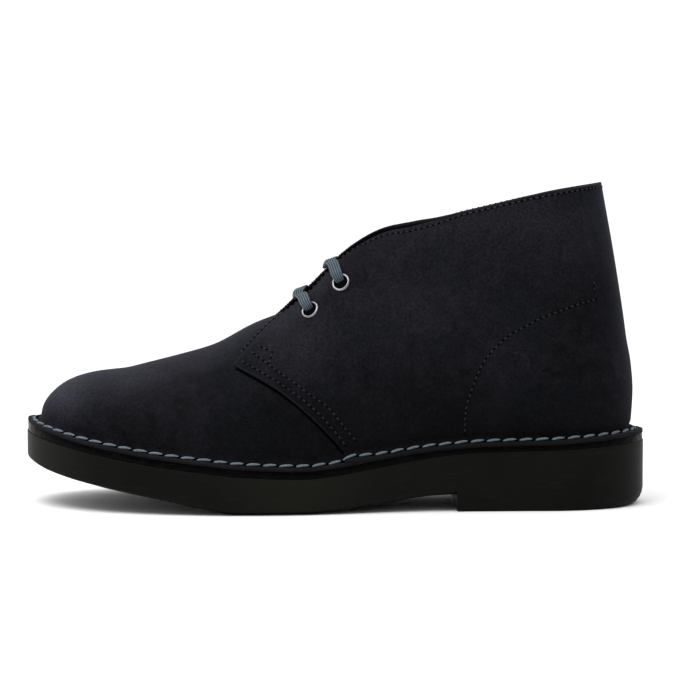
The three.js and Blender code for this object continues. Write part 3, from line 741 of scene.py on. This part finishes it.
def make_vamp():
    """The vamp with its turned-out edge, and behind it the tongue, as one sheet."""
    u = np.concatenate([toe_stations(TIP_X, 60)[:-1], np.arange(BALL_X, 38, 1.25)])
    climb = np.concatenate([[0, 0.006, 0.014, 0.026, 0.042, 0.062], np.linspace(0.085, 1, 44)])[:, None]
    strip = angle_at_half(u, throat_at(np.maximum(u, THROAT_X)) + 8)
    start = strip * smooth_step(13, 22, u)
    round_tip = smooth_step(24, 38, u)
    angle = start + (RIGHT_ANGLE - start) * climb
    place = u - 6 * ((1 - climb) * round_tip) ** 2
    droop = tongue_depth(place, angle)
    foot = np.array(FOOT_ROWS)[:, None] * (1 - smooth_step(9, 12.5, u))
    foot_angle = np.broadcast_to(start, foot.shape)
    foot_place = np.broadcast_to(u - 6 * round_tip ** 2, foot.shape)
    low = tongue_depth(foot_place, foot_angle)
    outer, inner = [], []
    for side in (-1, 1):
        for sheet, edge_depth, depth in ((outer, 0, 0), (inner, FLANGE_EDGE, TONGUE_THICK)):
            flange = upper_surface(foot_place, side, foot_angle, low - edge_depth, foot)
            sheet.append(np.concatenate([flange, upper_surface(place, side, angle, droop - depth)]))
    outer = np.concatenate([outer[0], outer[1][::-1][1:]])
    inner = np.concatenate([inner[0], inner[1][::-1][1:]])
    edge = np.zeros(outer.shape[:2])
    edge[0] = edge[-1] = EDGE_TONE
    vamp = thick_sheet("vamp_and_tongue", outer, inner, SUEDE, {"edge": edge})
    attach(vamp, "root")
    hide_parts("tongue")


def quarter_top(u):
    """Angle of the quarter's upper edge: the throat in front, the collar behind."""
    throat = angle_at_half(np.minimum(u, THROAT_END), throat_at(u))
    throat = np.where(u < THROAT_END, throat, RIGHT_ANGLE)
    around = (u - SEAT_X) / (HEEL_X - SEAT_X) * RIGHT_ANGLE
    place = np.where(u > SEAT_X, SEAT_X + 33 * np.sin(around), u)
    ahead = np.clip(COLLAR_FRONT - place, 0, None)
    collar = angle_at_height(u, collar_at(np.maximum(place, COLLAR_FRONT)) - 0.24 * ahead)
    collar = np.where(u > 30, collar, RIGHT_ANGLE)
    sharp = 0.012  # how tightly the two lines join
    low, high = np.minimum(throat, collar), np.maximum(throat, collar)
    return low - sharp * np.exp(-(high - low) / sharp) * 0.5


def quarter_patch(s, t):
    """Places on the form of a patch: s from the front edge to the back seam, t from the foot up."""
    front_x = mix(QUARTER_FOOT_X, QUARTER_TIP_X, t)
    front_z = column(QUARTER_FRONT, "z")(front_x)
    front_angle = np.where(t > 0, angle_at_height(front_x, front_z), 0.0)
    foot_u = mix(QUARTER_FOOT_X, HEEL_X, s)
    top_u = mix(QUARTER_TIP_X, HEEL_X, s)
    top_angle = quarter_top(top_u)
    back_angle = quarter_top(np.full_like(t, HEEL_X)) * t
    corner_angle = quarter_top(np.array([QUARTER_TIP_X]))[0]
    seam_angle = quarter_top(np.array([HEEL_X]))[0]
    s2, t2 = s[None, :], t[:, None]
    u = (1 - t2) * foot_u + t2 * top_u + (1 - s2) * front_x[:, None] + s2 * HEEL_X
    u -= ((1 - s2) * (1 - t2) * QUARTER_FOOT_X + s2 * (1 - t2) * HEEL_X
          + (1 - s2) * t2 * QUARTER_TIP_X + s2 * t2 * HEEL_X)
    angle = t2 * top_angle + (1 - s2) * front_angle[:, None] + s2 * back_angle[:, None]
    angle -= (1 - s2) * t2 * corner_angle + s2 * t2 * seam_angle
    return u, np.clip(angle, 0, RIGHT_ANGLE)


def make_quarters():
    """Both quarters, in one sheet round the heel, with their turned-out edge."""
    s = np.concatenate([[0, 0.0015, 0.003], np.linspace(0.006, 1, 200)])
    low_rows = [0, 0.005, 0.011, 0.02, 0.032, 0.048, 0.066]
    t = np.concatenate([low_rows, np.linspace(0.085, 0.992, 60), [0.996, 1.0]])
    u, angle = quarter_patch(s, t)
    edge = np.zeros_like(u)
    edge[-1, :] = edge[:, 0] = 1
    edge[-2, :] = edge[:, 1] = 0.25
    tuck = np.zeros_like(u)
    tuck[-1, :] = tuck[:, 0] = 0.3
    tuck[-2, 1:] = tuck[:-1, 1] = 0.08
    grow_out = QUARTER_OUT - tuck
    grow_in = mix(0.1, -0.7, smooth_step(22, 34, u)) + tuck
    foot = np.array(FOOT_ROWS)[:, None] * np.ones_like(s)
    foot_u = np.broadcast_to(u[0], foot.shape)
    step_up = step_over_vamp(foot_u)
    under = mix(FLANGE_LIFT - FLANGE_EDGE + step_up, -FLANGE_EDGE, smooth_step(7, 10, foot_u))
    outer, inner, edges = [], [], []
    for side in (-1, 1):
        wall_out = quarter_surface(u, side, angle, grow_out)
        wall_in = quarter_surface(u, side, angle, grow_in)
        flange_out = upper_surface(foot_u, side, 0 * foot, FLANGE_LIFT + step_up, foot)
        flange_in = upper_surface(foot_u, side, 0 * foot, under, foot)
        blend = smooth_step(0, 4, form_height(u) * np.sin(angle))
        wall_out[..., 2] += (FLANGE_LIFT + step_over_vamp(u) - grow_out) * (1 - blend)
        outer.append(np.concatenate([flange_out, wall_out]))
        inner.append(np.concatenate([flange_in, wall_in]))
        edge_rows = np.zeros(foot.shape)
        edge_rows[0] = EDGE_TONE
        edges.append(np.concatenate([edge_rows, edge]))
    sheet_edge = {"edge": round_the_heel(*edges)}
    quarters = thick_sheet("quarters", round_the_heel(*outer), round_the_heel(*inner), SUEDE, sheet_edge)
    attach(quarters, "root")
    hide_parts("upper")


# ------------ lining

def make_lining():
    """A thin lining inside the shaft, from the insole to just under the collar."""
    s = np.linspace(0, 1, 90)
    t = np.linspace(0, 1, 46)
    places = LINING_START + (HEEL_X - LINING_START) * s
    u = np.broadcast_to(places, (len(t), len(s)))
    low = 0.02
    top = quarter_top(u[0]) - 2.2 / np.maximum(form_height(u[0]), 40)
    under_tongue = angle_at_half(np.minimum(u[0], THROAT_END), throat_at(u[0]) + 9)
    top = np.where(u[0] < 44, np.minimum(top, under_tongue), top)
    angle = low + t[:, None] * (top - low)
    depth = mix(-2.6, -1.0, smooth_step(36, 50, u))
    outer = [upper_surface(u, side, angle, depth) for side in (-1, 1)]
    inner = [upper_surface(u, side, angle, depth - LINING_THICK) for side in (-1, 1)]
    lining = thick_sheet("lining", round_the_heel(*outer), round_the_heel(*inner), LINING)
    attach(lining, "root")


# ------------ stitching

def unit(vectors):
    return vectors / np.maximum(np.linalg.norm(vectors, axis=-1, keepdims=True), 1e-9)


def run_along(path):
    """Length along a path at each of its points."""
    return np.concatenate([[0], np.cumsum(np.linalg.norm(np.diff(path, axis=0), axis=1))])


def full_turn(count):
    return np.linspace(0, 2 * math.pi, count + 1)[:-1]


def stitch_row(path, normals, pitch, closed=False):
    """Middle, direction and normal of each stitch along a path."""
    if closed:
        path = np.concatenate([path, path[:1]])
        normals = np.concatenate([normals, normals[:1]])
    run = run_along(path)
    count = max(int(round(run[-1] / pitch)), 1)
    step = run[-1] / count
    at = lambda values, where: np.stack([np.interp(where, run, values[:, i]) for i in range(3)], axis=-1)
    middle = (np.arange(count) + 0.5) * step
    ahead = at(path, np.minimum(middle + 0.4 * step, run[-1]))
    behind = at(path, np.maximum(middle - 0.4 * step, 0))
    return at(path, middle), unit(ahead - behind), unit(at(normals, middle))


def stitch_mesh(name, rows, length, radius, arch, slant, material, flat=0.85):
    """All stitches of some rows in one mesh: short arched strands of twisted thread."""
    middle, along, normal = (np.concatenate(part) for part in zip(*rows))
    across = unit(np.cross(normal, along))
    turned = math.radians(slant)
    turned_across = across * math.cos(turned) - along * math.sin(turned)
    along = along * math.cos(turned) + across * math.sin(turned)
    across = turned_across
    share = np.sin(np.linspace(-RIGHT_ANGLE, RIGHT_ANGLE, 9))
    turn = full_turn(8)
    s, a = np.meshgrid(share, turn, indexing="ij")
    thick = radius * np.clip(1 - np.abs(s) ** 3.5, 0.0, 1) ** 0.5 + 0.02
    along_part = s * length / 2
    across_part = thick * np.cos(a)
    up_part = thick * flat * np.sin(a) + arch * (1 - s ** 2) - 0.45 * arch
    middle, along, across, normal = (row[:, None, None, :] for row in (middle, along, across, normal))
    points = (middle + along * along_part[..., None] + across * across_part[..., None]
              + normal * up_part[..., None])
    sections, around = s.shape
    each = sections * around
    faces = []
    for n in range(len(middle)):
        faces += capped_tube_faces(sections, around, n * each)
    uv = np.stack([np.broadcast_to(along_part, (len(middle), *s.shape)),
                   np.broadcast_to(a * radius, (len(middle), *s.shape))], axis=-1).reshape(-1, 2)
    piece = new_mesh(name, points.reshape(-1, 3), faces, material, uv=uv)
    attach(piece, "root")
    return piece


WELT_ROW = 3.3     # from the feather line out to the stitches
WELT_PITCH = 7.7
WELT_LENGTH = 7.3
WELT_RADIUS = 0.74


def welt_path():
    """Line of the welt stitches on the flange, once round the boot."""
    heel = np.linspace(SEAT_X, HEEL_X, 90)
    u = np.concatenate([toe_stations(TIP_X, 120), np.arange(BALL_X + 1, SEAT_X, 1.0), heel])
    over = smooth_step(2, 7, u) * (FLANGE_LIFT + step_over_vamp(u))
    row = np.full_like(u, WELT_ROW)
    lateral = upper_surface(u, -1, 0 * u, over + 0.25, row)
    medial = upper_surface(u, 1, 0 * u, over + 0.25, row)
    return np.concatenate([lateral, medial[-2:0:-1]])


def make_welt_stitches():
    path = welt_path()
    up = np.array([0.0, 0.0, 1.0])
    ahead = np.roll(path, -1, axis=0) - np.roll(path, 1, axis=0)
    normals = unit(up + 0.5 * unit(np.cross(ahead, up)))
    row = stitch_row(path, normals, WELT_PITCH, closed=True)
    stitch_mesh("welt_stitches", [row], WELT_LENGTH, WELT_RADIUS, 0.5, 8, WELT_THREAD)
    # painted shade: a dark strip under the welt stitches, so shade shows between and beside them
    welt_shade = stitch_row(path - [0, 0, 0.2], normals, 3.0, closed=True)
    stitch_mesh("welt_shade_strip", [welt_shade], 4.2, 1.45, 0.0, 0, SHADE_STRIP, flat=0.3)


def on_form(u, angle, side, grow=QUARTER_OUT):
    """Points and outward normals of a line on the quarter."""
    point = quarter_surface(u, side, angle, grow)
    along = quarter_surface(u + 0.3, side, angle, grow) - quarter_surface(u - 0.3, side, angle, grow)
    up = quarter_surface(u, side, angle + 0.01, grow) - quarter_surface(u, side, angle - 0.01, grow)
    return point, unit(np.cross(along, up) * -side)


def place_on_side(x, z):
    """u and angle of a place seen from the side, at x and z."""
    x, z = np.asarray(x, float), np.asarray(z, float)
    reach = back_at(z) + QUARTER_OUT - SEAT_X
    around = np.arcsin(np.clip((x - SEAT_X) / reach, 0, 1))
    u = np.where(x > SEAT_X, SEAT_X + (HEEL_X - SEAT_X) * around / RIGHT_ANGLE, x)
    return u, angle_at_height(u, z)


def curve_through(points):
    """A smooth line through points given as (x, z)."""
    points = np.array(points, float)
    run = run_along(points)
    where = np.linspace(0, run[-1], 60)
    return cubic(run, points[:, 0], where), cubic(run, points[:, 1], where)


def top_row(side, below, start, end):
    """A row of stitches a distance below the throat and collar."""
    u = np.linspace(start, end, 220)
    top = quarter_top(u)
    below = below + 0.7 * smooth_step(-34, -24, u) * smooth_step(64, 42, u)
    below = below + 1.2 * smooth_step(8, 18, u) * smooth_step(64, 42, u)
    turn = 0.02
    at_top = upper_surface(u, side, top, QUARTER_OUT)
    reach = np.linalg.norm(at_top - upper_surface(u, side, top - turn, QUARTER_OUT), axis=-1) / turn
    return on_form(u, top - below / reach, side)


# Rows of fine stitches on each side, as x and z.
COUNTER_LINE = [(62.4, 50.6), (65.3, 59.1), (67.7, 65.3), (71.5, 72.4), (76.2, 77.7), (82.9, 83.4),
                (90, 87.2), (97.1, 91), (102.8, 93.3), (109.5, 95.7), (116.6, 98.1), (124, 99.8)]
COUNTER_FOOT = [(62.4, 50.6), (61.6, 44), (61.6, 37)]
FRONT_ROW = [(-44.6, 71.0), (-27.5, 61.8), (-18, 55.6), (-8.2, 47.6), (0, 38.6), (5, 32)]
SECOND_ROW = [(-40, 75.1), (-31.3, 69.3), (-26.2, 65.8), (-18.2, 60.4), (-10.7, 55.1), (-4.2, 50.6),
              (-0.3, 46.5), (4.4, 40.6), (10, 34)]
CORNER_ROW = [(-37.3, 78.0), (-29.5, 74.8)]
CORNER_END = [(-29.5, 74.8), (-31.3, 69.3)]
BACK_TACK = [(123, 109), (123.4, 103.5)]
FINE_ROWS = (COUNTER_LINE, COUNTER_FOOT, FRONT_ROW, SECOND_ROW, CORNER_ROW, CORNER_END, BACK_TACK)


def make_fine_stitches():
    rows = []
    for side in SIDES.values():
        for line in FINE_ROWS:
            u, angle = place_on_side(*curve_through(line))
            rows.append(stitch_row(*on_form(u, angle, side), 3.0))
        rows.append(stitch_row(*top_row(side, 2.6, -45.2, HEEL_X - 0.5), 2.9))
    stitch_mesh("fine_stitches", rows, 1.6, 0.32, 0.16, 0, FINE_THREAD)
    # painted shade: dark dots between the stitches for the shaded needle holes
    hole_shades = [(middle + along * 1.5, along, normal) for middle, along, normal in rows]
    stitch_mesh("stitch_hole_shades", hole_shades, 1.5, 0.5, 0.0, 0, HOLE_SHADE, flat=0.3)


EDGE_LINE = [(-46.5, 68.3), (-36, 62.9), (-27.5, 58.1), (-18.5, 51.6), (-10, 43.8), (-2, 35.4),
             (3.6, 28.6)]


def make_edge_shadow():
    """A dark strip of painted shadow where the quarter's front edge lies over the vamp."""
    rows = []
    for side in SIDES.values():
        u, angle = place_on_side(*curve_through(EDGE_LINE))
        rows.append(stitch_row(*on_form(u, angle, side, 0.05), 2.0))
    stitch_mesh("edge_shadow", rows, 3.4, 0.62, 0.0, 0, SHADE_STRIP, flat=0.25)


# ------------ eyelets

RING_RADIUS, RING_ROLL = 3.9, 0.7
BORE_RADIUS = 3.22
# The barrel behind the ring and the ring's flat back, as radius and height.
BARREL = [(3.18, -0.6), (3.15, -3.2), (3.35, -3.2), (3.35, 0.0), (4.55, 0.0)]


def circle(count, a, b):
    """Points of a circle of radius 1, in the plane of two directions."""
    turn = full_turn(count)
    return np.outer(np.cos(turn), a) + np.outer(np.sin(turn), b)


def eyelet_frame(name, side):
    """Middle of an eyelet and its outward normal."""
    x, z, _ = EYELETS[name]
    angle = angle_at_height(np.array([x]), z)
    point, normal = on_form(np.array([x]), angle, side)
    return point[0], normal[0]


def make_eyelets():
    """Rolled metal rings with a short barrel through the upper."""
    roll = np.linspace(0, math.pi, 12)
    profile = [(RING_RADIUS + RING_ROLL * math.cos(t), 0.1 + 0.8 * math.sin(t)) for t in roll]
    profile += BARREL
    for name in EYELETS:
        for word, side in SIDES.items():
            point, normal = eyelet_frame(name, side)
            a = unit(np.cross(normal, [0.0, 1.0, 0.3]))
            b = np.cross(normal, a)
            rings = [point + normal * h + r * circle(48, a, b) for r, h in profile]
            faces = tube_faces(len(profile), 48, closed=True)
            ring = new_mesh(f"ring_{name}_{word}", np.concatenate(rings), faces, NICKEL)
            weld(ring)
            sharpen(ring, 50)
            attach(ring, "root")
            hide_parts(f"eyelet_{name}_{word}")
            make_bore(f"bore_{name}_{word}", point + normal * 0.15, a, b)


def make_bore(name, middle, a, b):
    """A dark disc in an eyelet's opening: painted shade where one looks into it."""
    rim = middle + BORE_RADIUS * circle(24, a, b)
    bore_shade = new_mesh(name, rim, [tuple(range(len(rim)))], HOLE_SHADE)
    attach(bore_shade, "root")


# ------------ lace

LACE_WIDTH, LACE_NARROW, LACE_THICK = 5.7, 4.3, 1.35
RIM_BEND, UNDER_BEND = 1.5, 2.2  # how round the lace turns over the rim, and under the quarter


def lace_half(name, side):
    """Stops of the lace from inside an eyelet, over its rim and up to the middle of the throat:
    place, direction across, face direction and width."""
    x0, _, crossing = EYELETS[name]
    point, normal = eyelet_frame(name, side)
    start_half = abs(point[1] - form_crown(x0))

    def on_quarter(share):
        lift = (0.85 if side < 0 else 0.5) - 2.5 * smooth_step(0.4, 0.95, share)
        x = np.array([mix(x0, crossing, 1 - (1 - share) ** 1.7)])
        half = start_half * (1 - share)
        angle = angle_at_half(x, half)
        return quarter_surface(x, side, angle, QUARTER_OUT + lift)[0]

    toward = on_quarter(0.3) - point
    toward = unit(toward - normal * np.dot(toward, normal))
    across = np.cross(toward, normal) * side
    start = point + toward * 1.25
    stops = [(start + normal * depth, across, -toward, LACE_NARROW) for depth in (-3.6, -1.6, 0.3)]
    for turn in np.radians([30, 60, 90]):
        up = 0.3 + RIM_BEND * math.sin(turn)
        place = start + normal * up + toward * 1.6 * (1 - math.cos(turn))
        face = -toward * math.cos(turn) + normal * math.sin(turn)
        stops.append((place, across, face, mix(LACE_NARROW, LACE_WIDTH, turn / RIGHT_ANGLE * 0.6)))
    stops.append((point + normal * 1.8 + toward * 5.0, across, normal, LACE_WIDTH))
    for share in (0.42, 0.58, 0.74, 0.9):
        way = unit(on_quarter(min(share + 0.03, 1)) - on_quarter(share - 0.03))
        level = across * [1.0, 1.0, mix(1.0, 0.6, min((share - 0.3) / 0.3, 1))]
        flat = unit(level - way * np.dot(level, way))
        face = unit(np.cross(flat, way) * side)
        stops.append((on_quarter(share), flat, face if face[2] > 0 else -face, LACE_WIDTH))
    return stops


def lace_under():
    """The hidden run between the two medial eyelets, inside the quarter."""
    point_a, normal_a = eyelet_frame("lower", 1)
    point_b, normal_b = eyelet_frame("upper", 1)
    along = unit(point_b - point_a)
    runs = []
    for name, normal, sign in (("lower", normal_a, 1), ("upper", normal_b, -1)):
        place, across, face, width = lace_half(name, 1)[0]
        stops = []
        for turn in np.radians([30, 60, 90]):
            bent = place - normal * UNDER_BEND * math.sin(turn)
            bent = bent + along * sign * UNDER_BEND * (1 - math.cos(turn))
            stops.append((bent, unit(across * sign * math.cos(turn) + normal * math.sin(turn)), face, width))
        runs.append(stops)
    return [*runs[0], *runs[1][::-1]]


BETWEEN_STOPS = 7


def smooth_stops(stops):
    """Stops in between, by a Catmull-Rom curve."""
    rows = np.array([np.concatenate([p, a, f, [w]]) for p, a, f, w in stops])
    padded = np.concatenate([[2 * rows[0] - rows[1]], rows, [2 * rows[-1] - rows[-2]]])
    out = []
    for i in range(1, len(padded) - 2):
        p0, p1, p2, p3 = padded[i - 1:i + 3]
        for t in np.arange(BETWEEN_STOPS) / BETWEEN_STOPS:
            out.append(0.5 * (2 * p1 + (p2 - p0) * t + (2 * p0 - 5 * p1 + 4 * p2 - p3) * t ** 2
                              + (3 * p1 - p0 - 3 * p2 + p3) * t ** 3))
    out.append(rows[-1])
    return np.array(out)


def make_lace():
    """One flat woven lace with five ribs along it."""
    bar = lambda name, side: [*lace_half(name, side), *lace_half(name, -side)[::-1]]
    way_back = [(place, -across, face, width) for place, across, face, width in bar("upper", 1)]
    line = smooth_stops([*bar("lower", -1), *lace_under(), *way_back])
    place, across, face, width = line[:, :3], unit(line[:, 3:6]), unit(line[:, 6:9]), line[:, 9]
    across = unit(across - face * np.sum(across * face, axis=1, keepdims=True))
    sweep = np.linspace(-1, 1, 41)
    rib = 0.13 * np.abs(np.cos(sweep * 2.5 * math.pi)) - 0.06
    round_edge = np.sqrt(np.clip(1 - np.abs(sweep) ** 5, 0, 1))
    high = (LACE_THICK / 2 + rib) * round_edge
    a = np.concatenate([sweep, sweep[::-1][1:-1]])
    h = np.concatenate([high, -high[::-1][1:-1]])
    points = (place[:, None, :] + across[:, None, :] * (a[:, None] * width[:, None, None] / 2)
              + face[:, None, :] * h[:, None])
    rows, around = points.shape[:2]
    faces = capped_tube_faces(rows, around)
    run = run_along(place)
    uv = np.stack([np.broadcast_to(run[:, None], (rows, around)),
                   np.broadcast_to(a * LACE_WIDTH / 2, (rows, around))], axis=-1).reshape(-1, 2)
    lace = new_mesh("lace_woven", points.reshape(-1, 3), faces, LACE, uv=uv)
    weld(lace)
    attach(lace, "root")
    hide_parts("lace")


# ------------ room, light and camera

def aim(item, place, target):
    """Puts a lamp or the camera at a place, in metres, and turns it to a target."""
    item.location = place
    way = Vector(target) - Vector(place)
    item.rotation_euler = way.to_track_quat("-Z", "Y").to_euler()
    bpy.context.collection.objects.link(item)


def add_softbox(name, place, target, size, power):
    light = bpy.data.lights.new(name, "AREA")
    light.shape = "RECTANGLE"
    light.size, light.size_y = size
    light.energy = power
    aim(bpy.data.objects.new(name, light), place, target)


def light_room(tree):
    """A soft white room: brightest overhead, white behind the boot, dimmer in front of it."""
    n = Tree(tree)
    way = n.add("SeparateXYZ", {"Vector": n.add("TexCoord").outputs["Generated"]}).outputs
    depth = n.remap(way["Y"], -1, 0.6, 0.1, 1.1)
    above = n.remap(way["Z"], 0.1, 1, 0, 0.9)
    room = tree.nodes["Background"].inputs
    n.feed(room["Strength"], n.math("ADD", depth, above))
    n.feed(room["Color"], (1, 1, 1, 1))


FLOOR_HALF = 6000
FLOOR_Z = -0.05


def make_stage():
    n = Nodes("floor_pale")
    n.set(Base_Color=(0.84, 0.84, 0.84, 1), Roughness=0.9, Specular_IOR_Level=0.1)
    corners = [(FLOOR_HALF * a, FLOOR_HALF * b, FLOOR_Z) for a, b in ((-1, -1), (1, -1), (1, 1), (-1, 1))]
    floor = new_mesh("floor", corners, [(0, 1, 2, 3)], n.material)
    floor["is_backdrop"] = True
    world = bpy.data.worlds.new("studio")
    bpy.context.scene.world = world
    world.use_nodes = True
    light_room(world.node_tree)
    bpy.context.scene.view_settings.view_transform = "Standard"
    add_softbox("top_softbox", (-0.33, -0.3, 0.8), (-0.03, 0, 0.05), (0.7, 0.5), 6)


def make_camera():
    camera_data = bpy.data.cameras.new("camera")
    camera = bpy.data.objects.new("camera", camera_data)
    camera_data.sensor_width = 36
    camera_data.lens = 125.6
    aim(camera, (0.0025, -1.150, 0.158), (0.0025, 0.0, 0.0788))
    bpy.context.scene.camera = camera


make_camera()
make_stage()
make_outsole()
make_midsole()
make_insole()
make_vamp()
make_quarters()
make_lining()
make_welt_stitches()
make_fine_stitches()
make_edge_shadow()
make_eyelets()
make_lace()

low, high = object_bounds()
sizes = {"cad": [list(cad_low), list(cad_high)], "visual": [list(low), list(high)]}
